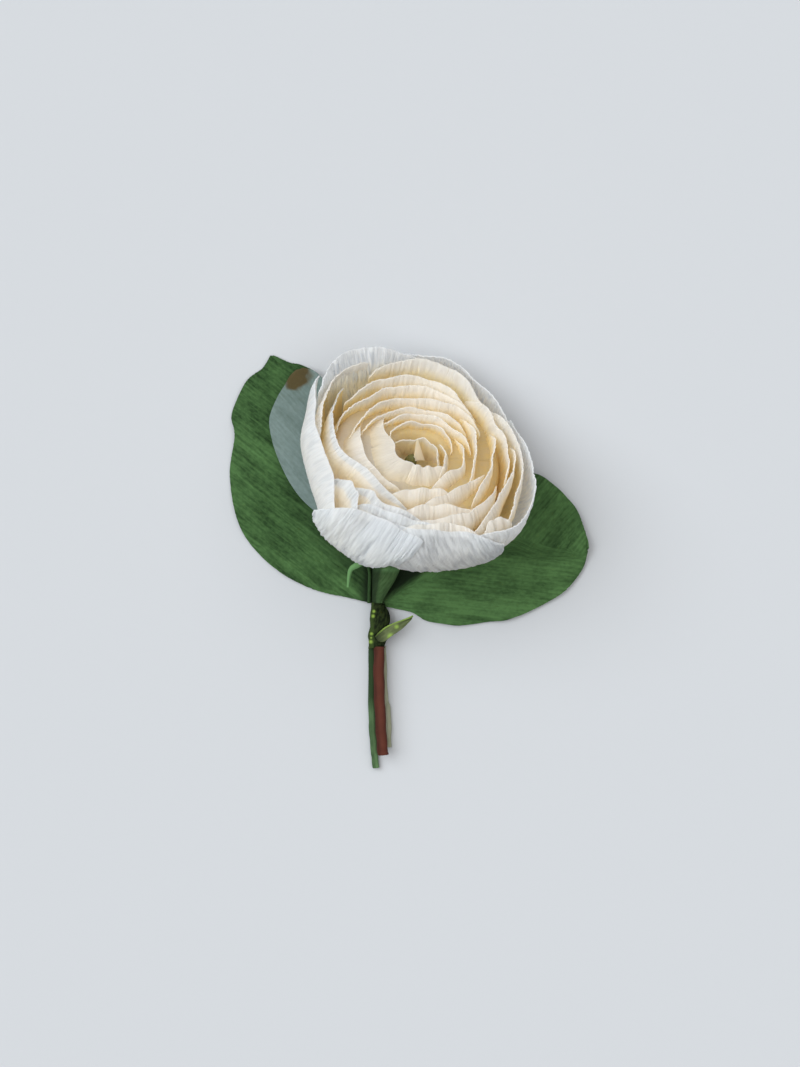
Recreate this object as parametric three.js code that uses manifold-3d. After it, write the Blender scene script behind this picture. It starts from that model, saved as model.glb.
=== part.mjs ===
// A crepe-paper ranunculus sprig, lying on a flat surface: one many-layered bloom,
// three paper leaves and three paper-covered stems, tied with tape.
// Millimetres. +Z points up from the surface, +Y runs from the cut stems to the bloom.
import * as THREE from 'three';
import { mergeVertices } from 'three/addons/utils/BufferGeometryUtils.js';
import Module from 'manifold-3d';

const wasm = await Module();
wasm.setup();

const DEG = Math.PI / 180;

// Driving sizes of the bloom. Its own axis leans over from the vertical.
const BLOOM_FOOT = [-1.1, 14.9, 6.25]; // where the funnel meets the petals
const BLOOM_TILT = 36 * DEG; // away from the vertical
const BLOOM_LEAN = 70 * DEG; // direction of the lean, from +X towards +Y
const CUP_RADIUS = 26.5; // rim radius of a full outer petal
const CENTRE_HEIGHT = 19.6; // rim height of the innermost petals over the foot
const RIM_RISE = 4.2; // how much higher the outer rims stand
const CURL_REACH = 20; // radius over which the petals' lean to the middle fades
const FIRST_RADIUS = 12; // rim radius up to which the petals start at the inner root
const INNER_ROOT = 0.5; // share of its height at which an inner petal starts
const OUTER_ROOT = 0.06; // and an outer one
const EYE_PLACE = [-1.2, 0.5]; // of the eye, beside the bloom's axis
const PAPER = 0.6; // thickness of every paper blade
const CORE_TOP = 12.4; // height of the paper core in the middle of the bloom, under the eye
const CLEARANCE = 0.35; // between neighbouring pieces
const WELD = 0.01; // edges shorter than this are closed up after fusing

// Driving sizes of the leaves, stems and tape.
const GREEN_STEM_RADIUS = 0.85;
const BROWN_STEM_RADIUS = 1.35;
const PALE_STEM_RADIUS = 0.95;
const STALK_RADIUS = 0.42; // of the grey-green leaf
const STEM_SIDES = 10;
const TIE_TOP = -11.6; // y of the upper end of the tape
const TIE_BOTTOM = -22.8; // y of its lower end
const BOX_MIDDLE = [0.275, -0.795]; // x and y of the middle of the sprig's box, which becomes the origin

// Petals, from the heart outwards. A petal is the line of its rim from its clockwise end:
// azimuth in degrees and radius. Other names change one petal: rise lifts its rim, curl is
// how far its wall stands out below the rim as a share of the radius, belly the same in mm,
// ends the share of its height that its two upper corners drop, skew how far its foot turns.
const PETAL_LAYERS = {
  heart: [
    { rim: [[-48, 4.6], [-17, 4.2], [8, 4.0], [45, 3.6], [72, 3.5], [101, 3.3], [131, 3.8], [151, 5.1],
      [164, 5.8]] },
    { rim: [[118, 11.0], [134, 10.2], [147, 9.0], [162, 7.3], [176, 6.4], [193, 6.3], [210, 6.2],
      [221, 5.8], [239, 4.5], [258, 4.2], [272, 4.0]], curl: [0.3, 1.1, 1.6, 1.9, 1.9],
      ends: [0.16, 0.03] },
    { rim: [[246, 4.9], [262, 4.8], [288, 5.2], [311, 5.8], [330, 6.2]], curl: [1.6, 1.5, 1.1, 0.5],
      ends: [0.0, 0.12] },
    { rim: [[298, 7.0], [323, 6.6], [338, 6.3], [354, 6.2], [374, 5.6], [392, 5.4]] },
  ],
  button: [
    { rim: [[4, 7.6], [22, 8.2], [43, 8.3], [70, 7.9], [88, 7.6], [112, 8.0], [130, 8.4], [146, 8.0],
      [160, 6.6]], curl: 0.12 },
    { rim: [[262, 10.4], [280, 9.3], [303, 9.0], [318, 9.4], [335, 10.8], [357, 10.4], [378, 10.6],
      [388, 10.9]], ends: [0.3, 0.12] },
  ],
  third: [
    { rim: [[2, 12.7], [23, 11.9], [41, 10.7], [81, 10.2], [116, 10.3], [134, 10.7], [150, 12.0]] },
    { rim: [[26, 14.0], [41, 13.6], [63, 12.0], [88, 11.6], [113, 11.9], [131, 12.6], [152, 13.6],
      [164, 13.9]] },
    { rim: [[320, 13.6], [334, 13.3], [354, 13.4], [374, 14.2], [392, 15.5], [404, 15.9]] },
    { rim: [[236, 14.2], [252, 13.2], [264, 12.5], [276, 12.0], [287, 12.4], [302, 12.8]] },
    { rim: [[149, 14.6], [163, 14.6], [177, 14.4], [192, 14.2], [206, 13.7], [220, 13.0], [235, 12.4],
      [247, 11.7]], rise: -1, curl: [0.15, 0.45, 0.5, 0.25, 0.15] },
  ],
  fourth: [
    { rim: [[254, 17.6], [266, 16.7], [280, 15.1], [297, 14.3], [312, 14.2], [325, 15.0], [340, 15.8]] },
    { rim: [[20, 16.8], [37, 16.9], [53, 16.3], [68, 14.8], [93, 14.3], [115, 15.0], [134, 15.6],
      [154, 15.9], [172, 16.3]] },
    { rim: [[308, 17.2], [323, 17.2], [339, 17.5], [357, 17.7], [368, 18.8], [380, 19.4]] },
    { rim: [[138, 24.7], [150, 23.5], [160, 23.1], [172, 22.0], [184, 21.0], [192, 19.8], [203, 17.3],
      [213, 16.2], [230, 15.8], [244, 15.2], [256, 15.0]] },
  ],
  fifth: [
    { rim: [[246, 19.2], [258, 18.6], [268, 17.9], [280, 17.7], [290, 18.3], [299, 19.4], [308, 20.1]] },
    { rim: [[34, 18.4], [51, 17.9], [80, 17.6], [103, 17.8], [117, 18.3], [133, 18.0], [146, 19.4],
      [158, 20.2], [168, 19.6]] },
    { rim: [[42, 19.2], [56, 19.0], [73, 19.8], [90, 20.3], [108, 20.5], [120, 21.1], [132, 21.0],
      [146, 21.6]] },
    { rim: [[212, 21.2], [219, 20.0], [229, 19.7], [234, 20.8], [245, 20.8], [260, 20.6], [272, 20.4]] },
    { rim: [[250, 22.0], [264, 22.0], [284, 21.6], [297, 21.8], [303, 21.2], [314, 21.2], [324, 20.2],
      [334, 19.4]] },
  ],
  sixth: [
    { rim: [[336, 21.2], [350, 21.4], [367, 21.0], [378, 20.4], [387, 20.6], [400, 21.2], [412, 21.2]] },
    { rim: [[291, 24.9], [303, 24.7], [313, 23.6], [324, 22.5], [336, 22.6], [352, 23.0], [366, 22.8]] },
    { rim: [[206, 24.0], [210, 22.9], [214, 22.4], [219, 22.6], [223, 23.2], [228, 24.7], [232, 26.0]] },
    { rim: [[225, 23.2], [229, 22.3], [237, 22.7], [246, 22.7], [256, 22.9], [268, 22.8], [280, 22.4]] },
    { rim: [[36, 22.3], [48, 22.4], [58, 23.4], [70, 24.7], [91, 25.0], [106, 24.7], [120, 24.3]] },
  ],
  seventh: [
    { rim: [[104, 25.8], [120, 26.4], [139, 27.2], [149, 26.6], [163, 25.5], [173, 24.6], [183, 23.9]] },
    { rim: [[314, 26.6], [321, 26.3], [330, 25.6], [345, 25.0], [358, 24.4], [373, 23.4], [387, 22.9],
      [398, 22.9]] },
    { rim: [[252, 24.4], [267, 23.9], [280, 23.4], [288, 24.2], [294, 26.0], [298, 27.0]] },
    { rim: [[299, 26.2], [303, 26.6], [308, 26.9], [315, 27.8]] },
  ],
  outer: [
    { rim: [[90, 25.6], [102, 26.2], [114, 28.0], [123, 29.4], [133, 29.9], [143, 29.4], [152, 28.4]],
      rise: 2.2, curl: [0.02, -0.12, -0.14, 0.0] },
    { rim: [[141, 30.8], [148, 29.8], [159, 27.8], [174, 26.6], [190, 24.9], [199, 24.7], [208, 25.2],
      [216, 26.4], [223, 27.2]], belly: [1.2, 1.1, 1.0] },
    { rim: [[18, 24.0], [35, 23.9], [49, 24.2], [64, 25.8], [79, 26.6], [94, 26.4], [108, 28.0]],
      curl: [0.04, 0.0, 0.0, 0.02], belly: [0.4, 2.8, 2.8, 0.6] },
    { rim: [[292, 26.6], [300, 28.2], [308, 30.2], [315, 31.2], [322, 31.0], [331, 29.8], [340, 28.8],
      [349, 27.2], [361, 25.8], [374, 24.9], [384, 24.9]], curl: [0.1, 0.02, 0.02, 0.02],
      belly: [0.4, 0.4, 0.2] },
    { rim: [[234, 23.6], [246, 24.2], [258, 25.2], [267, 25.5], [276, 25.3], [286, 25.9], [293, 27.3],
      [300, 29.0], [306, 30.0]], rise: -0.6, belly: [1.5, 2.4, 2.2, 0.6], ends: [0.16, 0.14] },
    { rim: [[215, 29.4], [221, 28.6], [228, 27.4], [236, 26.2], [245, 25.8], [254, 26.4], [261, 26.8],
      [268, 26.8]], rise: -0.4, belly: [0.6, 3.6, 4.4, 1.0], skew: -27, ends: [0.2, 0.05] },
  ],
};
const PETAL_FACET = 3.4; // length along the rim between two corners of the mesh
const PETAL_ROWS = [3, 2, 2, 2, 2, 2, 3, 5]; // of the mesh, by layer

function vector(point) {
  return new THREE.Vector3(point[0], point[1], point[2]);
}

// Geometry from a list of THREE.Vector3 and a list of corner numbers.
function geometryFrom(points, corners) {
  const geometry = new THREE.BufferGeometry();
  const numbers = points.flatMap((point) => point.toArray());
  geometry.setAttribute('position', new THREE.Float32BufferAttribute(numbers, 3));
  geometry.setIndex(corners);
  geometry.computeVertexNormals();
  return geometry;
}

// A closed blade of paper round the middle surface point(u, v), with u and v from 0 to 1.
// Both faces have the same triangles. It faces along the cross product of u and v.
function blade(point, columns, rows, thickness = PAPER) {
  const points = [];
  const corners = [];
  const step = 1e-3;
  for (const side of [1, -1]) {
    for (let j = 0; j <= rows; j += 1) {
      for (let i = 0; i <= columns; i += 1) {
        const u = i / columns;
        const v = j / rows;
        const along = point(Math.min(u + step, 1), v).sub(point(Math.max(u - step, 0), v));
        const across = point(u, Math.min(v + step, 1)).sub(point(u, Math.max(v - step, 0)));
        const normal = along.cross(across).normalize();
        points.push(point(u, v).addScaledVector(normal, side * thickness / 2));
      }
    }
  }
  const face = (columns + 1) * (rows + 1);
  const at = (side, i, j) => side * face + j * (columns + 1) + i;
  for (let j = 0; j < rows; j += 1) {
    for (let i = 0; i < columns; i += 1) {
      const square = [[i, j], [i + 1, j], [i + 1, j + 1], [i, j + 1]];
      const turn = (i + j) % 2;
      for (const three of turn ? [[0, 1, 2], [0, 2, 3]] : [[1, 2, 3], [1, 3, 0]]) {
        corners.push(...three.map((k) => at(0, ...square[k])));
        corners.push(...three.slice().reverse().map((k) => at(1, ...square[k])));
      }
    }
  }
  const border = [];
  for (let i = 0; i < columns; i += 1) border.push([i, 0]);
  for (let j = 0; j < rows; j += 1) border.push([columns, j]);
  for (let i = columns; i > 0; i -= 1) border.push([i, rows]);
  for (let j = rows; j > 0; j -= 1) border.push([0, j]);
  border.forEach((place, k) => {
    const next = border[(k + 1) % border.length];
    corners.push(at(0, ...place), at(1, ...place), at(1, ...next));
    corners.push(at(0, ...place), at(1, ...next), at(0, ...next));
  });
  return geometryFrom(points, corners);
}

// A closed tube with flat ends: section(t, angle) gives its half width and half height.
function tube(centre, section, steps, sides) {
  const points = [];
  const corners = [];
  const up = new THREE.Vector3(0, 0, 1);
  for (let k = 0; k <= steps; k += 1) {
    const t = k / steps;
    const middle = centre(t);
    const ahead = centre(Math.min(t + 0.01, 1)).sub(centre(Math.max(t - 0.01, 0))).normalize();
    const right = ahead.clone().cross(up).normalize();
    const over = right.clone().cross(ahead).normalize();
    for (let i = 0; i < sides; i += 1) {
      const angle = (i / sides) * 2 * Math.PI;
      const [wide, high] = section(t, angle);
      points.push(middle.clone().addScaledVector(right, Math.cos(angle) * wide)
        .addScaledVector(over, Math.sin(angle) * high));
    }
  }
  for (let k = 0; k < steps; k += 1) {
    for (let i = 0; i < sides; i += 1) {
      const next = (i + 1) % sides;
      const [a, b, c, d] = [k * sides + i, k * sides + next, (k + 1) * sides + next, (k + 1) * sides + i];
      corners.push(a, c, b, a, d, c);
    }
  }
  for (const [ring, first, second] of [[0, 0, 1], [steps, 1, 0]]) {
    const middle = points.push(centre(ring / steps)) - 1;
    for (let i = 0; i < sides; i += 1) {
      const edge = [ring * sides + i, ring * sides + ((i + 1) % sides)];
      corners.push(middle, edge[first], edge[second]);
    }
  }
  return geometryFrom(points, corners);
}

function curve(points) {
  const line = new THREE.CatmullRomCurve3(points.map(vector), false, 'centripetal');
  return (t) => line.getPoint(t);
}

function outline(points) {
  const line = new THREE.SplineCurve(points.map(([x, y]) => new THREE.Vector2(x, y)));
  return (t) => line.getPoint(t);
}

function solid(geometry) {
  const plain = geometry.clone();
  plain.deleteAttribute('normal');
  plain.deleteAttribute('uv');
  const merged = mergeVertices(plain, 1e-4);
  return new wasm.Manifold(new wasm.Mesh({
    numProp: 3,
    vertProperties: Float32Array.from(merged.attributes.position.array),
    triVerts: Uint32Array.from(merged.index.array),
  }));
}

// The biggest connected surface of a body: this fills hollows that fusing sealed and drops scraps.
function largest(body) {
  return body.decompose().reduce((best, next) => (next.volume() > best.volume() ? next : best));
}

function geometryOf(body) {
  const mesh = largest(body.simplify(WELD)).getMesh();
  const geometry = new THREE.BufferGeometry();
  geometry.setAttribute('position', new THREE.Float32BufferAttribute(mesh.vertProperties, 3));
  geometry.setIndex(Array.from(mesh.triVerts));
  geometry.computeVertexNormals();
  return geometry;
}

function paper(name, geometry, colour, roughness = 0.85) {
  const material = new THREE.MeshStandardMaterial({ color: colour, roughness, metalness: 0 });
  const mesh = new THREE.Mesh(geometry, material);
  mesh.name = name;
  return mesh;
}

// Radius of a petal at the share q of its height, for a rim radius of 1.
function cupProfile(q, curl) {
  const opening = (1 - Math.max(0, 1 - q) ** 2.6) ** 0.8;
  return 0.15 + (0.85 + curl) * opening - curl * q ** 6;
}

function rimHeight(radius) {
  return CENTRE_HEIGHT + RIM_RISE * Math.min(radius / CUP_RADIUS, 1.1);
}

// A point of the bloom in its own frame, from azimuth, radius and height.
function polar(azimuth, radius, height) {
  return new THREE.Vector3(radius * Math.cos(azimuth), radius * Math.sin(azimuth), height);
}

// The usual curl of a petal: greatest where the petals lean to the middle of the bloom.
function leanIn(rim, angle) {
  const share = 0.22 + 0.6 * Math.exp(-((rim / 8) ** 2)) - 0.56 * Math.cos(angle - BLOOM_LEAN);
  return Math.exp(-rim / CURL_REACH) * share;
}

// A number, or the smooth line through numbers spaced evenly along a petal's rim.
function alongRim(values, u) {
  return Array.isArray(values) ? outline(values.map((value, k) => [k, value]))(u).y : values;
}

// One petal: a patch of a cup below its rim, with its two upper corners lowered.
function petal(form, layer, number) {
  const { rim: points, rise = 0, curl, belly = 0, ends = [0.12, 0.12], skew = 0 } = form;
  const line = outline(points);
  const [first, last] = [points[0][0], points[points.length - 1][0]];
  const middle = (last + first) / 2;
  const half = (last - first) / 2;
  const mean = points.reduce((sum, point) => sum + point[1], 0) / points.length;
  const outward = THREE.MathUtils.clamp((mean - FIRST_RADIUS) / (CUP_RADIUS - FIRST_RADIUS), 0, 1);
  const root = INNER_ROOT + (OUTER_ROOT - INNER_ROOT) * outward ** 2;
  const phase = number * 2.4 + layer;
  const surface = (u, v) => {
    const rim = line(u).y;
    const s = (line(u).x - middle) / half;
    const drop = ends[s < 0 ? 0 : 1] * s ** 4;
    const q = (root + (1 - root) * v) * (1 - drop * v ** 3);
    const narrow = 0.62 + 0.38 * Math.sin(Math.min(q / 0.75, 1) * Math.PI / 2);
    const angle = (middle + half * s * narrow + skew * (1 - q) * (1 + s) / 2) * DEG;
    const out = curl === undefined ? leanIn(rim, angle) : alongRim(curl, u);
    const bulge = alongRim(belly, u) * Math.sin(Math.PI * q);
    const wave = v * v * 0.1 * Math.sin(11 * s + phase);
    const radius = rim * cupProfile(q, out) + bulge + wave;
    const height = (rimHeight(rim) + rise) * q + 0.35 * v * v * Math.sin(9 * s + 1.7 * phase);
    return polar(angle, radius, height);
  };
  const length = mean * 2 * half * DEG * (1 + 0.7 * Math.max(0, alongRim(curl ?? 0, 0.5)));
  return blade(surface, Math.max(4, Math.round(length / PETAL_FACET)), PETAL_ROWS[layer]);
}

// A solid turned about the axis of the bloom, from pairs of radius and height.
function turned(profile, sides) {
  const points = profile.map(([radius, height]) => new THREE.Vector2(radius, height));
  return new THREE.LatheGeometry(points, sides).rotateX(Math.PI / 2);
}

// The paper core that the petals are glued to: a bowl with a raised ring round the eye.
function bloomCore() {
  const wall = [[6.5, 0.3], [13.4, 3], [18.2, 6], [20.6, 9], [21, 12]];
  const ring = [[20.4, 16.6], [18.5, 18], [13, 18.2], [9, 17.8], [7, 17.2], [4.8, 13.8]];
  const top = [...ring, [3.8, CORE_TOP], [0, CORE_TOP]];
  return turned([[0, 0], ...wall, ...top], 20);
}

// The tilted frame of the bloom.
const bloom = new THREE.Group();
bloom.position.set(...BLOOM_FOOT);
const leanAxis = new THREE.Vector3(-Math.sin(BLOOM_LEAN), Math.cos(BLOOM_LEAN), 0);
bloom.quaternion.setFromAxisAngle(leanAxis, BLOOM_TILT);
bloom.updateMatrixWorld(true);

// All petals and their core, fused, and flattened where they rest on the surface.
function bloomPetals() {
  let whole = solid(bloomCore());
  let number = 0;
  Object.values(PETAL_LAYERS).forEach((forms, layer) => {
    for (const form of forms) {
      whole = whole.add(solid(petal(form, layer, number)));
      number += 1;
    }
  });
  const surface = new THREE.BoxGeometry(200, 200, 20).translate(0, 0, -10);
  surface.applyMatrix4(bloom.matrixWorld.clone().invert());
  return paper('bloom_petals', geometryOf(whole.subtract(solid(surface))), 0xf0e9d6);
}
bloom.add(bloomPetals());

// The greenish eye, a small blunt cone in the middle of the innermost petals.
function bloomEye() {
  const seat = CORE_TOP + 0.5;
  const profile = [[0, seat], [1.35, seat], [1.5, seat + 1.5], [1, seat + 3.3], [0, seat + 3.9]];
  return paper('bloom_eye', turned(profile, 10).translate(...EYE_PLACE, 0), 0x9a9f5c);
}
bloom.add(bloomEye());

const foot = vector(BLOOM_FOOT);
const bloomAxis = new THREE.Vector3(0, 0, 1).applyQuaternion(bloom.quaternion);

// A strip of paper along a centre line, with a half width that changes along it.
function strip(points, halfWidths, columns) {
  const centre = curve(points);
  const width = outline(halfWidths.map((half, k) => [k, half]));
  const surface = (u, v) => {
    const ahead = centre(Math.min(u + 0.02, 1)).sub(centre(Math.max(u - 0.02, 0)));
    const side = new THREE.Vector3(-ahead.y, ahead.x, 0).normalize();
    return centre(u).addScaledVector(side, width(u).y * (2 * v - 1));
  };
  return blade(surface, columns, 1);
}

// A sepal that lies under the petals, from inside the funnel outwards.
function sepal(azimuth, reach) {
  const root = 3.4;
  const surface = (u, v) => {
    const radius = root + (reach - root) * u;
    const half = 2.3 * Math.sin(Math.PI * (0.25 + 0.68 * u));
    return polar(azimuth * DEG + half * (2 * v - 1) / radius, radius, 0.0155 * radius * radius - 1.9);
  };
  return blade(surface, 4, 2).applyMatrix4(bloom.matrixWorld);
}

// The calyx: a funnel from the tape up to the foot of the bloom, with its sepals.
function calyx() {
  const below = (depth) => foot.clone().addScaledVector(bloomAxis, -depth).toArray();
  const route = [[-7.5, TIE_TOP + 0.5, 2.6], [-7.5, -10.4, 2.65], [-6.9, -8, 3.2], [-5.6, -3.4, 4],
    [-3.6, 5, 4.9]];
  const centre = curve([...route, below(2.8), below(1.6), below(CLEARANCE)]);
  const radius = outline([[0, 1.3], [1, 1.5], [2, 2.1], [3, 3.3], [4, 4.2], [5, 4.5], [6, 4.6], [7, 4.6]]);
  const greatestHalfHeight = 3.85;
  const section = (t) => [radius(t).y, Math.min(radius(t).y, greatestHalfHeight)];
  let whole = solid(tube(centre, section, 10, 12));
  for (const [azimuth, reach] of [[20, 12.5], [96, 9.5], [160, 12.5], [300, 13]]) {
    whole = whole.add(solid(sepal(azimuth, reach)));
  }
  const curled = [[-2.6, 9.6, 4.6], [-5.6, 5.2, 6.6], [-9.2, 0.8, 8], [-12.4, -1.9, 7.6],
    [-14.3, -3.4, 6.7], [-14.9, -7.6, 4.9]];
  whole = whole.add(solid(strip(curled, [1.2, 1.3, 1.1, 0.75, 0.5, 0.25], 10)));
  return paper('calyx', geometryOf(whole), 0x3c5f34);
}

// A leaf of waved crepe paper between two edge lines that run from its base to its tip.
function leaf(first, second, height, columns, rows) {
  const left = outline(first);
  const right = outline(second);
  const surface = (u, v) => {
    const flat = left(u).lerp(right(u), v);
    return new THREE.Vector3(flat.x, flat.y, height(u, v));
  };
  return blade(surface, columns, rows);
}

// Edge lines of the leaves, each from base to tip, as pairs of x and y.
const LEFT_LEAF_EDGE = [[-9.35, -11.3], [-14.5, -10.3], [-23.2, -8.3], [-31.9, -3.9], [-39.2, 2.9],
  [-42.9, 10.1], [-44.5, 20.6], [-43.3, 30.1], [-44.1, 34.7], [-43, 38.6], [-40.1, 44.1],
  [-36.4, 47], [-34.4, 50.2]];
const LEFT_LEAF_HIDDEN_EDGE = [[-9.3, -9.6], [-9.7, -3.4], [-11.6, 6], [-14, 16], [-16, 26], [-18.5, 36],
  [-21.5, 44.5], [-26, 47.6], [-29.7, 48.5], [-33.4, 50.2]];
const RIGHT_LEAF_EDGE = [[-4.9, -12.3], [-2.5, -13.1], [0, -13.6], [1.9, -14.4], [4.5, -16], [8.7, -16.8],
  [13.2, -17.2], [20.2, -16.3], [24.5, -15.8], [30.2, -13.7], [36.2, -10.6], [39.9, -7.8], [43.4, -3.1],
  [44.6, 0.8]];
const RIGHT_LEAF_HIDDEN_EDGE = [[-5.7, -10.7], [-4.6, -7.5], [-2.8, -3.6], [2, 1], [9, 7], [17, 14],
  [25, 19.6], [31.7, 20.7], [36.7, 17.6], [39.9, 14.4], [42.4, 10.9], [44.4, 4.9], [44.8, 2.2]];
const GREY_LEAF_EDGE = [[-13.4, 3.4], [-18, 7], [-23, 11.1], [-26.7, 14.6], [-29.7, 18.9], [-32.3, 24.3],
  [-34, 29.6], [-34.5, 34.5], [-32.7, 39.4], [-30.8, 42.6], [-29.4, 45], [-27.8, 46.4]];
const GREY_LEAF_HIDDEN_EDGE = [[-12.2, 4.4], [-13, 10], [-14.5, 18], [-15.5, 27], [-16.8, 35], [-19.5, 42],
  [-23, 46], [-26.2, 47]];

// Heights of the middle surface of each leaf: along u from base to tip, across v from edge to edge.
const LYING = 0.36; // where a blade lies flat on the surface
function leftLeafHeight(u, v) {
  const arch = 1.5 * Math.sin(Math.PI * v) * Math.sin(Math.PI * Math.min(1, 0.15 + u));
  const base = 0.7 * (1 - Math.min(1, u / 0.12)) ** 2;
  const wave = 0.35 * (1 - v) ** 2 * (1 + Math.sin(34 * u)) * Math.sin(Math.PI * u);
  return LYING + base + arch * (1 - 0.45 * v) + wave;
}
function rightLeafHeight(u, v) {
  const lift = 4.2 * u * u * (0.25 + 0.75 * v) + 1.4 * Math.sin(Math.PI * v) * Math.sin(Math.PI * u);
  const base = 0.9 * (1 - Math.min(1, u / 0.15)) ** 2;
  const wave = 0.4 * (2 * v - 1) ** 2 * (1 + Math.sin(30 * u + 2)) * Math.sin(Math.PI * u);
  return LYING + base + lift + wave;
}
function greyLeafHeight(u, v) {
  const lift = 1.5 * (1 - v) * Math.sin(Math.PI * Math.min(1, 0.2 + u));
  return 2.6 + lift + 0.25 * Math.sin(Math.PI * v) * Math.sin(8 * u);
}

// The grey-green leaf, on its own thin stalk that runs down beside the funnel.
function greyLeaf() {
  const blank = solid(leaf(GREY_LEAF_EDGE, GREY_LEAF_HIDDEN_EDGE, greyLeafHeight, 12, 5));
  const route = [[-13.4, 5.5, 2.9], [-11.4, 0.5, 2.6], [-9.65, -3.4, 2.2], [-9.65, -8, 2.3],
    [-9.75, TIE_TOP, 2.6]];
  const stalk = solid(tube(curve(route), () => [STALK_RADIUS, STALK_RADIUS], 8, 6));
  return paper('leaf_grey', geometryOf(blank.add(stalk)), 0x7d9691, 0.75);
}

// The tape that ties the stems under the bloom, an uneven bundle with slanting turns.
function tie() {
  const centre = curve([[-7.5, TIE_TOP, 2.6], [-7.5, -12.4, 2.6], [-7, -15.5, 2.6], [-7.5, -19.5, 2.5],
    [-7.8, -22, 2.5], [-7.8, TIE_BOTTOM, 2.5]]);
  const half = outline([[0, 1.35], [1, 1.8], [2, 2.4], [3, 2.3], [4, 2], [5, 1.9]]);
  const section = (t, angle) => {
    const turn = 1 + 0.06 * Math.sin(angle * 2 + t * 22);
    const high = 1.6 + 0.6 * Math.sin(Math.PI * Math.min(1, t + 0.25) / 1.25);
    return [half(t).y * turn, high * turn];
  };
  return paper('stem_wrap', tube(centre, section, 14, 12), 0x3a3d1c, 0.6);
}

// A paper-covered wire stem, cut square at its end.
function stem(name, route, radius, colour) {
  const section = (t, angle) => {
    const seam = 1 + 0.05 * Math.sin(angle + 30 * t);
    return [radius * seam, radius * seam];
  };
  return paper(name, tube(curve(route), section, 14, STEM_SIDES), colour, 0.7);
}
const STEM_TOP = TIE_BOTTOM - CLEARANCE;
const BROWN_HEIGHT = 3.7; // the brown stem lies on the pale one
const GREEN_ROUTE = [[-9, STEM_TOP, 0.95], [-9.05, -39.3, 0.95], [-8.5, -48, 0.95], [-8, -52.8, 0.95]];
const BROWN_ROUTE = [[-7.15, STEM_TOP, 3.5], [-7.25, -30.6, BROWN_HEIGHT], [-6.75, -42.8, BROWN_HEIGHT],
  [-6.2, -49.4, BROWN_HEIGHT]];
const PALE_ROUTE = [[-6.4, STEM_TOP, 1.05], [-6, -34.1, 1.05], [-5.2, -39, 1.05], [-5.1, -47.6, 1.05]];

// The small bract that leaves the tape to the right.
function bract() {
  const lower = [[-7.4, -21], [-5.9, -21.3], [-4.5, -20.1], [-1.5, -18.3], [0.2, -16.4], [1, -15.3]];
  const upper = [[-8.2, -19.6], [-7, -18.3], [-5.5, -17.1], [-3, -16.2], [0, -15.3], [1.2, -14.7]];
  const height = (u, v) => 5.5 - 2.4 * u * u - 0.5 * Math.sin(Math.PI * v) * u;
  return paper('bract', leaf(lower, upper, height, 6, 2), 0x6f7f2e);
}

const sprig = new THREE.Group();
sprig.add(bloom, calyx());
const leftLeaf = leaf(LEFT_LEAF_EDGE, LEFT_LEAF_HIDDEN_EDGE, leftLeafHeight, 18, 6);
const rightLeaf = leaf(RIGHT_LEAF_EDGE, RIGHT_LEAF_HIDDEN_EDGE, rightLeafHeight, 18, 6);
sprig.add(paper('leaf_left', leftLeaf, 0x2c5626));
sprig.add(paper('leaf_right', rightLeaf, 0x2f5c29));
sprig.add(greyLeaf(), tie(), bract());
sprig.add(stem('stem_green', GREEN_ROUTE, GREEN_STEM_RADIUS, 0x2f6a3a));
sprig.add(stem('stem_brown', BROWN_ROUTE, BROWN_STEM_RADIUS, 0x6b352b));
sprig.add(stem('stem_pale', PALE_ROUTE, PALE_STEM_RADIUS, 0x8b9179));
sprig.position.set(-BOX_MIDDLE[0], -BOX_MIDDLE[1], 0);
export default sprig;
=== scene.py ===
"""Looks of a crepe-paper ranunculus sprig that lies on a pale surface.

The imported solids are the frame. Finer pieces with the same form replace them: petals, calyx,
leaves, stems, tape and bract. Sizes are millimetres in the sprig's own measures, and every mesh
is made in metres, moved so that the middle of the sprig's box is the origin.
"""

import math

import bpy
import numpy as np
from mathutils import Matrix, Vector


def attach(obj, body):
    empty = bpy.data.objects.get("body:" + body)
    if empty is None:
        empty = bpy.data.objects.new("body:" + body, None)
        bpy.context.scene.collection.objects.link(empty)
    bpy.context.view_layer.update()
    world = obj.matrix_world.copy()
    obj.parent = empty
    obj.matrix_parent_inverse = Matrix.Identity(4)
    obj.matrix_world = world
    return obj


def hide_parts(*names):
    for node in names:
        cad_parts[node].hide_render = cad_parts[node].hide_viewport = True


MM = 0.001
BOX_MIDDLE = (0.275, -0.795)  # x and y of the middle of the sprig's box, in the sprig's measures

# Driving sizes of the bloom, as in the solids.
BLOOM_FOOT = (-1.1, 14.9, 6.25)
BLOOM_TILT = math.radians(36)  # from straight up
BLOOM_LEAN = math.radians(70)  # the azimuth that it tilts to
CUP_RADIUS = 26.5
CENTRE_HEIGHT = 19.6  # of a rim over the foot, at the axis
RIM_RISE = 4.2  # how much higher a rim is at the cup's radius
FIRST_RADIUS = 12.0  # rim radius up to which the petals start at the inner root
INNER_ROOT = 0.5  # share of its height at which an inner petal starts
OUTER_ROOT = 0.06  # and an outer one
EYE_PLACE = (-1.2, 0.5)
CORE_TOP = 12.4  # height of the core's flat top, round the eye's foot
CURL_REACH = 20.0  # radius over which the petals' lean to the axis fades

# Paper.
PETAL_THICKNESS = 0.24
LEAF_THICKNESS = 0.4
SEPAL_THICKNESS = 0.4
CURLED_SEPAL_THICKNESS = 0.3
BRACT_THICKNESS = 0.35
RIDGE_SPACING = 0.75  # from one crepe ridge to the next on a petal
LEAF_RIDGE_SPACING = 0.9
LEAF_RIDGE_DEPTH = 0.1
LYING = 0.36  # height of a leaf's middle surface where it lies flat

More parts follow.
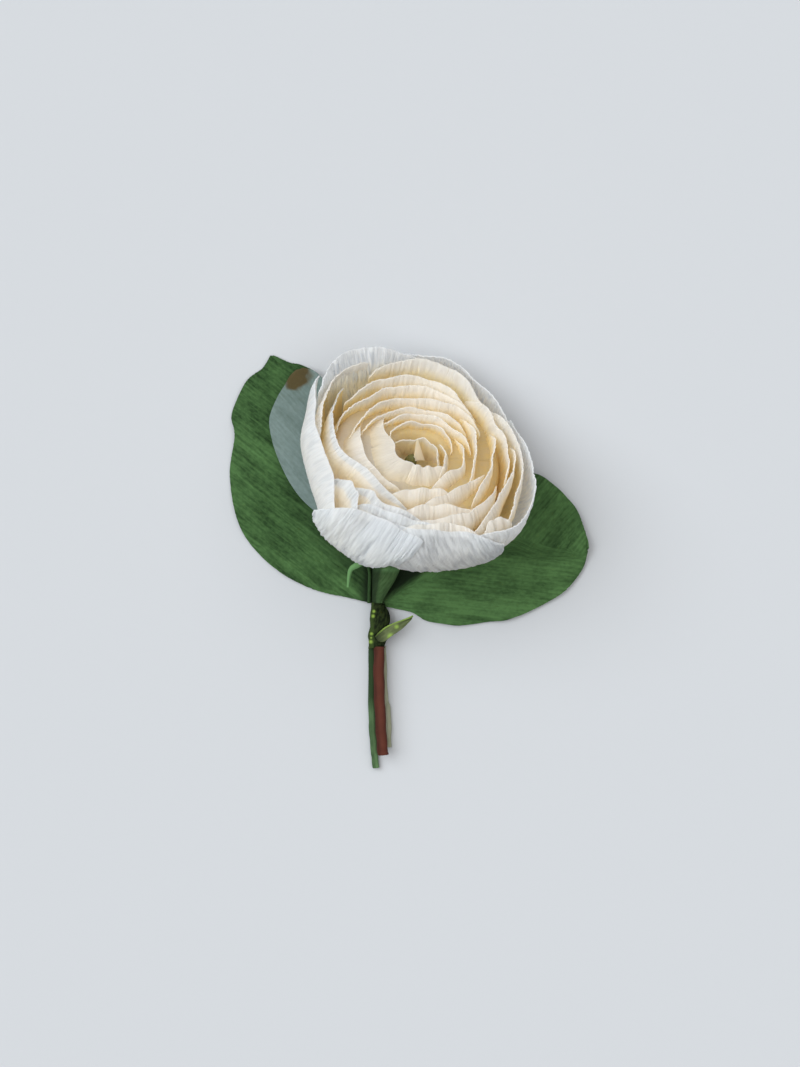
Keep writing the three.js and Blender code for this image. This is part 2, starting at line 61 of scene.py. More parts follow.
# Meshes.
PETAL_COLUMN_WIDTH = 0.21  # across the ridges
PETAL_ROW_HEIGHT = 0.65
OUTER_ROW_SHARE = 0.8  # of that height, in the outer petals
LEAF_MESH = (280, 100)  # columns and rows
GREY_LEAF_MESH = (200, 70)
BRACT_MESH = (90, 36)

# The way that the crepe's ridges run, in degrees from +x.
LEFT_GRAIN = -38
RIGHT_LOW_GRAIN = -6
RIGHT_HIGH_GRAIN = 50
GREY_GRAIN = -48
BRACT_GRAIN = 35

# Stems and tape.
GREEN_STEM_RADIUS = 0.85
BROWN_STEM_RADIUS = 1.35
PALE_STEM_RADIUS = 0.95
STALK_RADIUS = 0.42
TIE_TOP = -11.6
TIE_BOTTOM = -22.8
CLEARANCE = 0.35  # between the calyx and the bloom's foot
GREY_SPOT = (-27.6, 45.2)  # the middle of the grey leaf's brown spot
HIDDEN_SEPALS = [(20, 12.5), (96, 9.5), (160, 12.5), (300, 13)]  # azimuth in degrees and reach

# Painted highlights, as bright spots given as x, y and radius.
TAPE_HIGHLIGHTS = [(-8.5, -13.6, 0.4), (-8.7, -14.8, 0.45), (-9.1, -19.2, 0.4), (-9.3, -21.2, 0.5),
              (-9.2, -20.2, 0.25)]
BRACT_HIGHLIGHTS = [(-4.4, -19.8, 0.8), (-2.9, -17.4, 0.6)]

# The camera looks straight down on the sprig.
CAMERA_PLACE = (-2.0, 5.75, 800.0)
FRAME_HEIGHT = 266.75  # what the camera sees from top to bottom at the surface
SENSOR_HEIGHT = 36.0
LIGHT_BOUNCES = 20  # many, as the light between the petals has passed on many times

# Petals, from the heart outwards. A petal is the line of its rim from its clockwise end: azimuth in
# degrees and radius. Other names change one petal. "rise" lifts its rim. "curl" is how far its wall
# stands out below the rim, as a share of the radius, and "belly" the same in mm, both along the rim.
# "ends" is the share of its height that its two upper corners drop. "skew" turns its foot, in degrees.
# "grain" slants its crepe, in degrees, and "depth" is the crepe's depth. "white" is the whiteness of its
# rim, from 0 to 1, and the key left over paints light into the troughs of its crepe, which lightens them, or
# paints shade into them if it is under 0.
PETAL_LAYERS = {
    "heart": [
        {"rim": [(-48, 4.6), (-17, 4.2), (8, 4.0), (45, 3.6), (72, 3.5), (101, 3.3), (131, 3.8), (151, 5.1),
                 (164, 5.8)]},
        {"rim": [(118, 11.0), (134, 10.2), (147, 9.0), (162, 7.3), (176, 6.4), (193, 6.3), (210, 6.2),
                 (221, 5.8), (239, 4.5), (258, 4.2), (272, 4.0)],
         "curl": (0.3, 1.1, 1.6, 1.9, 1.9), "ends": (0.16, 0.03)},
        {"rim": [(246, 4.9), (262, 4.8), (288, 5.2), (311, 5.8), (330, 6.2)], "curl": (1.6, 1.5, 1.1, 0.5),
         "ends": (0.0, 0.12)},
        {"rim": [(298, 7.0), (323, 6.6), (338, 6.3), (354, 6.2), (374, 5.6), (392, 5.4)]},
    ],
    "button": [
        {"rim": [(4, 7.6), (22, 8.2), (43, 8.3), (70, 7.9), (88, 7.6), (112, 8.0), (130, 8.4), (146, 8.0),
                 (160, 6.6)], "curl": 0.12},
        {"rim": [(262, 10.4), (280, 9.3), (303, 9.0), (318, 9.4), (335, 10.8), (357, 10.4), (378, 10.6),
                 (388, 10.9)], "ends": (0.3, 0.12)},
    ],
    "third": [
        {"rim": [(2, 12.7), (23, 11.9), (41, 10.7), (81, 10.2), (116, 10.3), (134, 10.7), (150, 12.0)]},
        {"rim": [(26, 14.0), (41, 13.6), (63, 12.0), (88, 11.6), (113, 11.9), (131, 12.6), (152, 13.6),
                 (164, 13.9)]},
        {"rim": [(320, 13.6), (334, 13.3), (354, 13.4), (374, 14.2), (392, 15.5), (404, 15.9)]},
        {"rim": [(236, 14.2), (252, 13.2), (264, 12.5), (276, 12.0), (287, 12.4), (302, 12.8)]},
        {"rim": [(149, 14.6), (163, 14.6), (177, 14.4), (192, 14.2), (206, 13.7), (220, 13.0), (235, 12.4),
                 (247, 11.7)], "rise": -1, "curl": (0.15, 0.45, 0.5, 0.25, 0.15)},
    ],
    "fourth": [
        {"rim": [(254, 17.6), (266, 16.7), (280, 15.1), (297, 14.3), (312, 14.2), (325, 15.0), (340, 15.8)]},
        {"rim": [(20, 16.8), (37, 16.9), (53, 16.3), (68, 14.8), (93, 14.3), (115, 15.0), (134, 15.6),
                 (154, 15.9), (172, 16.3)]},
        {"rim": [(308, 17.2), (323, 17.2), (339, 17.5), (357, 17.7), (368, 18.8), (380, 19.4)]},
        {"rim": [(138, 24.7), (150, 23.5), (160, 23.1), (172, 22.0), (184, 21.0), (192, 19.8), (203, 17.3),
                 (213, 16.2), (230, 15.8), (244, 15.2), (256, 15.0)], "white": 1},
    ],
    "fifth": [
        {"rim": [(246, 19.2), (258, 18.6), (268, 17.9), (280, 17.7), (290, 18.3), (299, 19.4), (308, 20.1)]},
        {"rim": [(34, 18.4), (51, 17.9), (80, 17.6), (103, 17.8), (117, 18.3), (133, 18.0), (146, 19.4),
                 (158, 20.2), (168, 19.6)]},
        {"rim": [(42, 19.2), (56, 19.0), (73, 19.8), (90, 20.3), (108, 20.5), (120, 21.1), (132, 21.0),
                 (146, 21.6)]},
        {"rim": [(212, 21.2), (219, 20.0), (229, 19.7), (234, 20.8), (245, 20.8), (260, 20.6), (272, 20.4)],
         "white": 1},
        {"rim": [(250, 22.0), (264, 22.0), (284, 21.6), (297, 21.8), (303, 21.2), (314, 21.2), (324, 20.2),
                 (334, 19.4)]},
    ],
    "sixth": [
        {"rim": [(336, 21.2), (350, 21.4), (367, 21.0), (378, 20.4), (387, 20.6), (400, 21.2), (412, 21.2)]},
        {"rim": [(291, 24.9), (303, 24.7), (313, 23.6), (324, 22.5), (336, 22.6), (352, 23.0), (366, 22.8)]},
        {"rim": [(206, 24.0), (210, 22.9), (214, 22.4), (219, 22.6), (223, 23.2), (228, 24.7), (232, 26.0)],
         "white": 1},
        {"rim": [(225, 23.2), (229, 22.3), (237, 22.7), (246, 22.7), (256, 22.9), (268, 22.8), (280, 22.4)],
         "white": 1},
        {"rim": [(36, 22.3), (48, 22.4), (58, 23.4), (70, 24.7), (91, 25.0), (106, 24.7), (120, 24.3)]},
    ],
    "seventh": [
        {"rim": [(104, 25.8), (120, 26.4), (139, 27.2), (149, 26.6), (163, 25.5), (173, 24.6), (183, 23.9)]},
        {"rim": [(314, 26.6), (321, 26.3), (330, 25.6), (345, 25.0), (358, 24.4), (373, 23.4), (387, 22.9),
                 (398, 22.9)]},
        {"rim": [(252, 24.4), (267, 23.9), (280, 23.4), (288, 24.2), (294, 26.0), (298, 27.0)]},
        {"rim": [(299, 26.2), (303, 26.6), (308, 26.9), (315, 27.8)]},
    ],
    "outer": [
        {"rim": [(90, 25.6), (102, 26.2), (114, 28.0), (123, 29.4), (133, 29.9), (143, 29.4), (152, 28.4)],
         "rise": 2.2, "curl": (0.02, -0.12, -0.14, 0.0), "depth": 0.36},
        {"rim": [(141, 30.8), (148, 29.8), (159, 27.8), (174, 26.6), (190, 24.9), (199, 24.7), (208, 25.2),
                 (216, 26.4), (223, 27.2)], "belly": (1.2, 1.1, 1.0), "depth": 0.1, "painted_trough_light": 0.45},
        {"rim": [(18, 24.0), (35, 23.9), (49, 24.2), (64, 25.8), (79, 26.6), (94, 26.4), (108, 28.0)],
         "curl": (0.04, 0.0, 0.0, 0.02), "belly": (0.4, 2.8, 2.8, 0.6)},
        {"rim": [(292, 26.6), (300, 28.2), (308, 30.2), (315, 31.2), (322, 31.0), (331, 29.8), (340, 28.8),
                 (349, 27.2), (361, 25.8), (374, 24.9), (384, 24.9)],
         "curl": (0.1, 0.02, 0.02, 0.02), "belly": (0.4, 0.4, 0.2)},
        {"rim": [(234, 23.6), (246, 24.2), (258, 25.2), (267, 25.5), (276, 25.3), (286, 25.9), (293, 27.3),
                 (300, 29.0), (306, 30.0)],
         "belly": (1.5, 2.4, 2.2, 0.3), "rise": -0.6, "grain": 40, "depth": 0.34, "painted_trough_light": -0.15,
         "ends": (0.16, 0.14)},
        {"rim": [(215, 29.4), (221, 28.6), (228, 27.4), (236, 26.2), (245, 25.8), (254, 26.4), (261, 26.8),
                 (268, 26.8)],
         "belly": (0.6, 3.6, 4.4, 1.0), "rise": -0.4, "grain": -12, "depth": 0.34, "skew": -27,
         "ends": (0.2, 0.05)},
    ],
}


def noise(x, y, seed):
    """Smooth noise from -1 to 1, about one swell a unit, always the same for the same seed."""
    size = 128
    table = np.random.default_rng(seed).uniform(-1, 1, (size, size))
    x, y = np.broadcast_arrays(x, y)
    column, row = np.floor(x).astype(int), np.floor(y).astype(int)
    across, up = x - column, y - row
    across = across * across * (3 - 2 * across)
    up = up * up * (3 - 2 * up)
    here, right = column % size, (column + 1) % size
    low, high = row % size, (row + 1) % size
    lower = table[here, low] * (1 - across) + table[right, low] * across
    upper = table[here, high] * (1 - across) + table[right, high] * across
    return lower * (1 - up) + upper * up


def crepe(across, along, seed, spacing=RIDGE_SPACING, length=4.5):
    """Height of crepe ridges, from -1 to 1. They run along, wander a little, and fork."""
    wander = 0.8 * spacing * noise(across / (5 * spacing), along / length, seed)
    crinkle = 0.3 * spacing * noise(across / (1.5 * spacing), along / 1.4, seed + 5)
    x = 2 * (across + wander + crinkle) / spacing
    coarse = noise(x, along / length, seed + 1)
    fine = noise(2.3 * x, along / (0.5 * length), seed + 2)
    swell = noise(0.35 * x, along / (1.5 * length), seed + 3)
    crest = 0.9 - 2.2 * np.abs(noise(0.9 * x + 7.3, along / (0.8 * length), seed + 4))
    return 0.5 * coarse + 0.35 * fine + 0.14 * swell + 0.35 * crest


def spline(points, t):
    """Points of a smooth line through the given ones, for t from 0 to 1."""
    points = np.asarray(points, float)
    last = len(points) - 1
    place = np.clip(t, 0, 1) * last
    start = np.minimum(place.astype(int), last - 1)
    w = (place - start)[..., None]
    before, here = points[np.maximum(start - 1, 0)], points[start]
    there, after = points[start + 1], points[np.minimum(start + 2, last)]
    pull, push = (there - before) / 2, (after - here) / 2
    cubic = (2 * here - 2 * there + pull + push) * w**3
    square = (-3 * here + 3 * there - 2 * pull - push) * w**2
    return cubic + square + pull * w + here


def varying(values, t):
    """A value that changes smoothly through the given ones, or a single one that stays the same."""
    return spline(np.array(values)[:, None], t)[..., 0] if np.ndim(values) else values


def unit(vectors):
    """Each vector at length 1."""
    return vectors / np.maximum(np.linalg.norm(vectors, axis=-1, keepdims=True), 1e-9)


def grid_normals(points):
    """Normals of a grid of points, rows by columns."""
    across = np.gradient(points, axis=1)
    up = np.gradient(points, axis=0)
    return unit(np.cross(across, up))


def grid_faces(rows, columns, first=0, closed=False):
    """Quads of a grid of corners, numbered row by row. A closed one joins its last column to its first."""
    across = columns if closed else columns - 1
    row, column = np.meshgrid(np.arange(rows - 1), np.arange(across), indexing="ij")
    low, column = row.ravel() * columns, column.ravel()
    high, after = low + columns, (column + 1) % columns
    quads = [low + column, low + after, high + after, high + column]
    return np.stack(quads, axis=1) + first


def sheet(points, thickness, uv, marks):
    """A closed sheet of paper round a grid of points: its corners, faces, paper uv and marks."""
    rows, columns = points.shape[:2]
    half = grid_normals(points) * thickness / 2
    outer, inner = points + half, points - half
    count = rows * columns
    front = grid_faces(rows, columns)
    back = grid_faces(rows, columns, count)[:, ::-1]
    border = np.concatenate([
        np.arange(columns - 1),
        np.arange(rows - 1) * columns + columns - 1,
        (rows - 1) * columns + np.arange(columns - 1, 0, -1),
        np.arange(rows - 1, 0, -1) * columns,
    ])
    after = np.roll(border, -1)
    edge = np.stack([border, border + count, after + count, after], axis=1)
    corners = np.concatenate([outer.reshape(-1, 3), inner.reshape(-1, 3)])
    inner_marks = marks.copy()
    inner_marks[..., 1] = 1
    both_marks = np.concatenate([marks.reshape(-1, 4), inner_marks.reshape(-1, 4)])
    both_uv = np.concatenate([uv.reshape(-1, 2), uv.reshape(-1, 2)])
    return corners, np.concatenate([front, back, edge]), both_uv, both_marks


def tube(route, section, steps, sides, marks_at):
    """A closed tube along a route. section(t, angle) gives its half width and half height."""
    t = np.linspace(0, 1, steps + 1)
    angle = np.arange(sides) / sides * 2 * math.pi
    middle = spline(route, t)
    ahead = unit(np.gradient(middle, axis=0))
    right = unit(np.cross(ahead, (0, 0, 1)))
    over = np.cross(right, ahead)
    along, around = np.meshgrid(t, angle, indexing="ij")
    wide, high = section(along, around)
    ring = middle[:, None] + right[:, None] * (np.cos(around) * wide)[..., None]
    ring = ring + over[:, None] * (np.sin(around) * high)[..., None]
    faces = grid_faces(steps + 1, sides, closed=True)[:, ::-1].tolist()
    faces.append(list(range(sides)))
    faces.append(list(range(steps * sides, (steps + 1) * sides))[::-1])
    length = np.concatenate([[0], np.cumsum(np.linalg.norm(np.diff(middle, axis=0), axis=1))])
    uv = np.stack([around * wide, np.broadcast_to(length[:, None], around.shape)], axis=-1)
    return ring.reshape(-1, 3), faces, uv.reshape(-1, 2), marks_at(along, around, ring).reshape(-1, 4)


def marks_of(*channels):
    """Four numbers for each corner, which its material reads."""
    return np.stack(np.broadcast_arrays(*channels), axis=-1).astype(float)


def piece(name, parts, material, node):
    """One object from corner lists in millimetres. It rides on the sprig and replaces a CAD node."""
    corners, faces, uvs, marks = [], [], [], []
    first = 0
    for part_corners, part_faces, part_uv, part_marks in parts:
        faces.extend([int(corner) + first for corner in face] for face in part_faces)
        first += len(part_corners)
        corners.append(part_corners)
        uvs.append(part_uv)
        marks.append(part_marks)
    corners = np.concatenate(corners) - (*BOX_MIDDLE, 0)
    mesh = bpy.data.meshes.new(name)
    mesh.from_pydata((corners * MM).tolist(), [], faces)
    loops = np.zeros(len(mesh.loops), int)
    mesh.loops.foreach_get("vertex_index", loops)
    layer = mesh.uv_layers.new(name="Paper")
    layer.data.foreach_set("uv", np.concatenate(uvs)[loops].astype(np.float32).ravel())
    attribute = mesh.attributes.new("marks", "FLOAT_COLOR", "POINT")
    attribute.data.foreach_set("color", np.concatenate(marks).astype(np.float32).ravel())
    mesh.shade_smooth()
    mesh.set_sharp_from_angle(angle=math.radians(60))
    mesh.materials.append(material)
    item = bpy.data.objects.new(name, mesh)
    bpy.context.scene.collection.objects.link(item)
    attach(item, "root")
    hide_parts(node)


class Shader:
    """A short way to write a material's nodes. An input is a number, a colour or another node's output."""

    def __init__(self, name):
        self.material = bpy.data.materials.new(name)
        self.material.use_nodes = True
        self.tree = self.material.node_tree
        self.tree.nodes.clear()

    def node(self, kind, inputs=(), output=0, **settings):
        made = self.tree.nodes.new(kind)
        for key, value in settings.items():
            setattr(made, key, value)
        for key, value in dict(inputs).items():
            if isinstance(value, bpy.types.NodeSocket):
                self.tree.links.new(value, made.inputs[key])
            else:
                made.inputs[key].default_value = value
        return made.outputs[output]

    def math(self, operation, first, second):
        """What an operation makes of two inputs, kept from 0 to 1."""
        return self.node("ShaderNodeMath", {0: first, 1: second}, operation=operation, use_clamp=True)

    def times(self, first, second):
        return self.math("MULTIPLY", first, second)

    def plus(self, first, second):
        return self.math("ADD", first, second)

    def mix(self, share, first, second):
        """A colour that goes from the first to the second with the share."""
        share_at, first_at, second_at, colour_out = 0, 6, 7, 2  # sockets of a mix of colours
        first, second = self.with_alpha(first), self.with_alpha(second)
        inputs = {share_at: share, first_at: first, second_at: second}
        return self.node("ShaderNodeMix", inputs, colour_out, data_type="RGBA")

    def with_alpha(self, colour):
        return (*colour, 1) if isinstance(colour, tuple) else colour

    def ramp(self, share, low, high):
        """0 under low, 1 over high and smooth between."""
        values = {"Value": share, "From Min": low, "From Max": high}
        return self.node("ShaderNodeMapRange", values, interpolation_type="SMOOTHSTEP")

    def marks(self):
        """The four numbers that the mesh carries at each corner."""
        attribute = self.tree.nodes.new("ShaderNodeAttribute")
        attribute.attribute_name = "marks"
        split = self.tree.nodes.new("ShaderNodeSeparateColor")
        self.tree.links.new(attribute.outputs["Color"], split.inputs[0])
        return (*split.outputs, attribute.outputs["Alpha"])

    def grain(self, across, along, detail=3.0):
        """Noise on the paper's own uv, which is in millimetres, so many swells a millimetre."""
        uv = self.node("ShaderNodeUVMap", uv_map="Paper")
        scaled = self.node("ShaderNodeVectorMath", {0: uv, 1: (across, along, 1)}, operation="MULTIPLY")
        return self.node("ShaderNodeTexNoise", {"Vector": scaled, "Scale": 1.0, "Detail": detail})

    def bump(self, height, strength, distance):
        values = {"Height": height, "Strength": strength, "Distance": distance}
        return self.node("ShaderNodeBump", values)

    def paper(self, colour, normal, roughness=0.85, specular=0.3, through=0.0, through_colour=None):
        """Ends the material as matt paper that lets a share of the light through."""
        colour = self.with_alpha(colour)
        values = {"Base Color": colour, "Roughness": roughness, "Specular IOR Level": specular}
        if normal:
            values["Normal"] = normal
        shader = self.node("ShaderNodeBsdfPrincipled", values)
        if through:
            passed = {"Color": self.with_alpha(through_colour), "Normal": normal}
            back = self.node("ShaderNodeBsdfTranslucent", passed)
            shader = self.node("ShaderNodeMixShader", {0: through, 1: shader, 2: back})
        end = self.tree.nodes.new("ShaderNodeOutputMaterial")
        self.tree.links.new(shader, end.inputs["Surface"])
        return self.material


def petal_paper():
    """White to cream crepe paper. The troughs of its crepe take painted shade, its rim a painted highlight,
    its inner faces low in the cup a warm orange that is partly painted bounce light, and its outer faces a
    cool cast that is partly painted window light. Marks: share of the height, inner face, whiteness, crest
    or rim.
    """
    s = Shader("petal paper")
    height, inner, whiteness, crest = s.marks()
    fibres = s.grain(3.2, 0.5)
    lines = s.ramp(s.grain(2.1, 0.3, 1.0), 0.40, 0.60)
    # Lower on a petal the paper turns cream, and far down in the cup orange: partly the paper's tint, partly
    # painted warm light that has bounced between the petals.
    low, deep_tint_and_glow = s.ramp(height, 0.98, 0.86), s.ramp(height, 0.96, 0.82)
    white, heart = s.ramp(whiteness, 0.88, 1.0), s.ramp(whiteness, 0.1, 0.05)
    # Painted shade: the troughs of the crepe and its fine lines go darker, a cool grey on the white outer
    # petals.
    trough_shade = s.ramp(crest, 0.5, 0.05)
    # Painted highlight: the rim goes near white.
    rim = s.ramp(crest, 0.8, 1.0)
    cream = s.mix(low, (0.985, 0.97, 0.945), (0.98, 0.94, 0.85))
    inner_colour = s.mix(deep_tint_and_glow, cream, (1.0, 0.84, 0.44))
    inner_colour = s.mix(s.times(white, 0.6), inner_colour, cream)
    inner_colour = s.mix(heart, inner_colour, (0.85, 0.79, 0.64))
    petal_colour = s.mix(low, (0.975, 0.96, 0.94), (0.97, 0.935, 0.88))
    # Outer faces whiter with a cool blue cast: partly the white paper, partly painted cool window light.
    outer_colour = s.mix(white, petal_colour, (0.91, 0.955, 0.99))
    colour = s.mix(inner, outer_colour, inner_colour)
    trough_shade_colour = s.mix(white, (0.84, 0.79, 0.71), (0.47, 0.50, 0.535))
    shaded = s.plus(s.times(trough_shade, 0.6), s.times(lines, 0.36))
    colour = s.mix(shaded, colour, trough_shade_colour)
    colour = s.mix(s.times(rim, 0.6), colour, (0.99, 0.99, 0.99))
    through_cream = s.mix(deep_tint_and_glow, (0.99, 0.97, 0.93), (1.0, 0.91, 0.65))
    through_colour = s.mix(white, through_cream, (0.955, 0.962, 0.975))
    relief = s.math("SUBTRACT", s.times(fibres, 0.3), lines)
    normal = s.bump(relief, 1.0, 0.00012)
    return s.paper(colour, normal, roughness=0.9, through=0.6, through_colour=through_colour)


def green_paper(name, dark, light, bright, through=0.12):
    """Green crepe paper. Marks: light streaks, inner face, painted shade, and a bright edge or spot, which
    on the bract is a painted highlight.
    """
    s = Shader(name)
    streaks, _, shade, edge = s.marks()
    fibres = s.grain(3.0, 0.35)
    lines = s.ramp(s.grain(1.7, 0.10, 3.0), 0.36, 0.64)
    patches = s.ramp(s.grain(0.22, 0.13, 4.0), 0.38, 0.62)
    specks = s.ramp(s.grain(1.3, 0.8, 4.0), 0.4, 0.6)
    share = s.plus(s.times(streaks, 0.5), s.times(lines, 0.28))
    share = s.plus(share, s.times(patches, 0.26))
    share = s.plus(share, s.times(specks, 0.2))
    colour = s.mix(share, dark, light)
    colour = s.mix(s.times(s.ramp(fibres, 0.5, 0.75), 0.25), colour, light)
    colour = s.mix(edge, colour, bright)
    colour = s.mix(shade, colour, tuple(0.25 * c for c in dark))
    normal = s.bump(fibres, 0.5, 0.00015)
    return s.paper(colour, normal, roughness=0.8, specular=0.2, through=through, through_colour=light)


# The bloom

BLOOM_AXIS = np.array([
    math.sin(BLOOM_TILT) * math.cos(BLOOM_LEAN),
    math.sin(BLOOM_TILT) * math.sin(BLOOM_LEAN),
    math.cos(BLOOM_TILT),
])


def from_bloom(points):
    """Points of the bloom's own tilted frame, in the sprig's frame."""
    hinge = np.array([-math.sin(BLOOM_LEAN), math.cos(BLOOM_LEAN), 0.0])
    cosine, sine = math.cos(BLOOM_TILT), math.sin(BLOOM_TILT)
    along = (points @ hinge)[..., None] * hinge
    tilted = points * cosine + np.cross(hinge, points) * sine + along * (1 - cosine)
    return tilted + np.array(BLOOM_FOOT)


def cup_profile(q, curl):
    """Radius of a petal's wall at a share of its height, as a share of its rim's radius."""
    opening = (1 - np.maximum(0, 1 - q) ** 2.6) ** 0.8
    return 0.15 + (0.85 + curl) * opening - curl * q**6


def rim_height(radius):
    return CENTRE_HEIGHT + RIM_RISE * np.minimum(radius / CUP_RADIUS, 1.1)


def polar(azimuth, radius, height):
    return np.stack([radius * np.cos(azimuth), radius * np.sin(azimuth), height], axis=-1)


def lean_in(rim, angle):
    """The usual curl: most beside the camera, where the petals lean to the middle."""
    share = 0.22 + 0.6 * np.exp(-((rim / 8) ** 2)) - 0.56 * np.cos(angle - BLOOM_LEAN)
    return np.exp(-rim / CURL_REACH) * share


def petal_root(mean):
    """Share of its height at which a petal of that mean radius starts."""
    outward = np.clip((mean - FIRST_RADIUS) / (CUP_RADIUS - FIRST_RADIUS), 0, 1)
    return INNER_ROOT + (OUTER_ROOT - INNER_ROOT) * outward**2


def petal_mesh(form, mean, half, root, outer):
    """Columns and rows of a petal's mesh."""
    arc = mean * math.radians(2 * half) * (1 + 0.7 * max(0, np.mean(form.get("curl", 0))))
    row_height = PETAL_ROW_HEIGHT * (OUTER_ROW_SHARE if outer else 1)
    return int(arc / PETAL_COLUMN_WIDTH), int((1 - root) * rim_height(mean) / row_height)


def slanted(across, along, degrees):
    """Places across and along the crepe of a petal whose crepe is slanted."""
    turn = math.radians(degrees)
    return across * math.cos(turn) + along * math.sin(turn), along * math.cos(turn) - across * math.sin(turn)


def petal(form, layer, number):
    """One petal with the solid's form, crepe ridges and an uneven rim."""
    outwards = layer / (len(PETAL_LAYERS) - 1)
    traced = np.array(form["rim"])
    middle, half = (traced[-1, 0] + traced[0, 0]) / 2, (traced[-1, 0] - traced[0, 0]) / 2
    mean = traced[:, 1].mean()
    root = petal_root(mean)
    columns, rows = petal_mesh(form, mean, half, root, outwards == 1)
    u, v = np.meshgrid(np.linspace(0, 1, columns), np.linspace(0, 1, rows) ** 0.9)

    # The form: s goes from -1 to 1 along the petal and q is the share of its height. The upper
    # corners drop, and the petal narrows towards its foot.
    line = spline(traced, u)
    rim, s = line[..., 1], (line[..., 0] - middle) / half
    ends = form.get("ends", (0.12, 0.12))
    drop = np.where(s < 0, ends[0], ends[1]) * s**4
    q = (root + (1 - root) * v) * (1 - drop * v**3)
    narrow = 0.62 + 0.38 * np.sin(np.minimum(q / 0.75, 1) * math.pi / 2)
    skew = form.get("skew", 0) * (1 - q) * (1 + s) / 2
    angle = np.radians(middle + half * s * narrow + skew)
    curl = varying(form["curl"], u) if "curl" in form else lean_in(rim, angle)
    bulge = varying(form.get("belly", 0), u) * np.sin(math.pi * q)
    phase = number * 2.4 + layer
    radius = rim * cup_profile(q, curl) + bulge + v * v * 0.1 * np.sin(11 * s + phase)
    height = (rim_height(rim) + form.get("rise", 0)) * q + 0.35 * v * v * np.sin(9 * s + 1.7 * phase)

    # The torn rim and the crepe.
    across = (angle - math.radians(middle)) * radius
    tatter = noise(across / 1.3, number + 0.5, 11) * 0.12 + noise(across / 0.45, number + 0.5, 12) * 0.09
    flutter = noise(across / 2.1, number + 0.5, 13) * 0.12
    points = polar(angle, radius + flutter * v**6, height + tatter * v**10)
    grain_across, grain_along = slanted(across, q * rim_height(rim), form.get("grain", 0))
    spacing = RIDGE_SPACING * (0.9 + 0.1 * outwards)
    ridges = crepe(grain_across, grain_along, 20 + number, spacing)
    depth = form.get("depth", 0.21 + 0.08 * outwards)
    points = from_bloom(points + grid_normals(points) * (ridges * depth)[..., None])
    points[..., 2] = np.maximum(points[..., 2], PETAL_THICKNESS)
    uv = np.stack([grain_across, grain_along + 40 * number], axis=-1)
    return sheet(points, PETAL_THICKNESS, uv, petal_marks(form, outwards, q, v, ridges))


def petal_marks(form, outwards, q, v, ridges):
    """The marks that petal_paper reads."""
    # Where the crest value is low the crepe's troughs take painted shade. A form's own painted light
    # lightens them, or darkens them when under 0, and the rim gets the top value, a painted highlight.
    painted_trough_light = form.get("painted_trough_light", 0)
    crest = np.clip(0.4 + painted_trough_light + 0.4 * ridges, 0, 0.8 + max(0, 0.4 * painted_trough_light))
    crest = crest + (1 - crest) * np.clip((v - 0.97) / 0.02, 0, 1)
    height_seen = 1 - (1 - q) * (1.25 - 0.7 * outwards)
    at_rim = np.clip((v - 0.8) / 0.12, 0, 1)
    white = outwards + (form.get("white", outwards) - outwards) * at_rim
    return marks_of(height_seen, 0, white, crest)


def heart_fold():
    """The small folded petal that leans across the heart."""
    left, right, tip = np.array([[-0.9, -0.4, 15.6], [2.0, 0.2, 15.6], [-0.6, 2.9, 20.2]])
    tip_width = 0.14  # of the foot's
    fold_height = 0.5
    u, v = np.meshgrid(np.linspace(0, 1, 16), np.linspace(0, 1, 20))
    foot = left + (right - left) * u[..., None]
    middle = (left + right) / 2
    narrow = 1 - (1 - tip_width) * v
    points = middle + (foot - middle) * narrow[..., None] + (tip - middle) * v[..., None]
    points[..., 2] += fold_height * np.sin(math.pi * u) * (1 - v)
    uv = np.stack([3 * u, 4 * v], axis=-1)
    return sheet(from_bloom(points), PETAL_THICKNESS, uv, marks_of(0.8 * v, 0, 0, 0.4))


def make_bloom(paper):
    number = 0
    for layer, (name, forms) in enumerate(PETAL_LAYERS.items()):
        parts = []
        for form in forms:
            parts.append(petal(form, layer, number))
            number += 1
        if name == "heart":
            parts.append(heart_fold())
        piece(f"petals_{name}", parts, paper, "bloom_petals")


def turned(profile, steps, sides, share, painted_left_light=0.0, place=(0, 0)):
    """A solid turned about a line along the bloom's axis from pairs of radius and height.

    Petal paper on it has the colour of that share of a petal's height, and painted light makes it lighter at
    the left.
    """
    most_lit_azimuth = math.radians(200)  # the azimuth of its left
    whiteness, crest = 0.3, 0.5  # of plain cream paper
    line = spline(profile, np.linspace(0, 1, steps))
    angle = np.arange(sides) / sides * 2 * math.pi
    radius, around = np.meshgrid(line[:, 0], angle, indexing="ij")
    height = np.broadcast_to(line[:, 1:2], radius.shape)
    points = from_bloom(polar(around, radius, height) + (*place, 0))
    faces = grid_faces(steps, sides, closed=True).tolist()
    faces.append(list(range(sides))[::-1])
    faces.append(list(range((steps - 1) * sides, steps * sides)))
    uv = np.stack([14 * around, radius + height], axis=-1)
    # Painted light: the share rises towards the left, so the paper there is lighter.
    marks = marks_of(share + painted_left_light * np.cos(around - most_lit_azimuth), 1, whiteness, crest)
    return points.reshape(-1, 3), faces, uv.reshape(-1, 2), marks.reshape(-1, 4)


def make_core(paper):
    """The paper core under the petals."""
    wall = [(6.5, 0.3), (13.4, 3), (18.2, 6), (20.6, 9), (21, 12)]
    ring = [(20.4, 16.6), (18.5, 18), (13, 18.2), (9, 17.8), (7, 17.2), (4.8, 13.8)]
    profile = [(0.4, 0), *wall, *ring, (3.8, CORE_TOP), (0.4, CORE_TOP)]
    core = turned(profile, 90, 160, share=0.82, painted_left_light=0.12)
    piece("bloom_core", [core], paper, "bloom_petals")


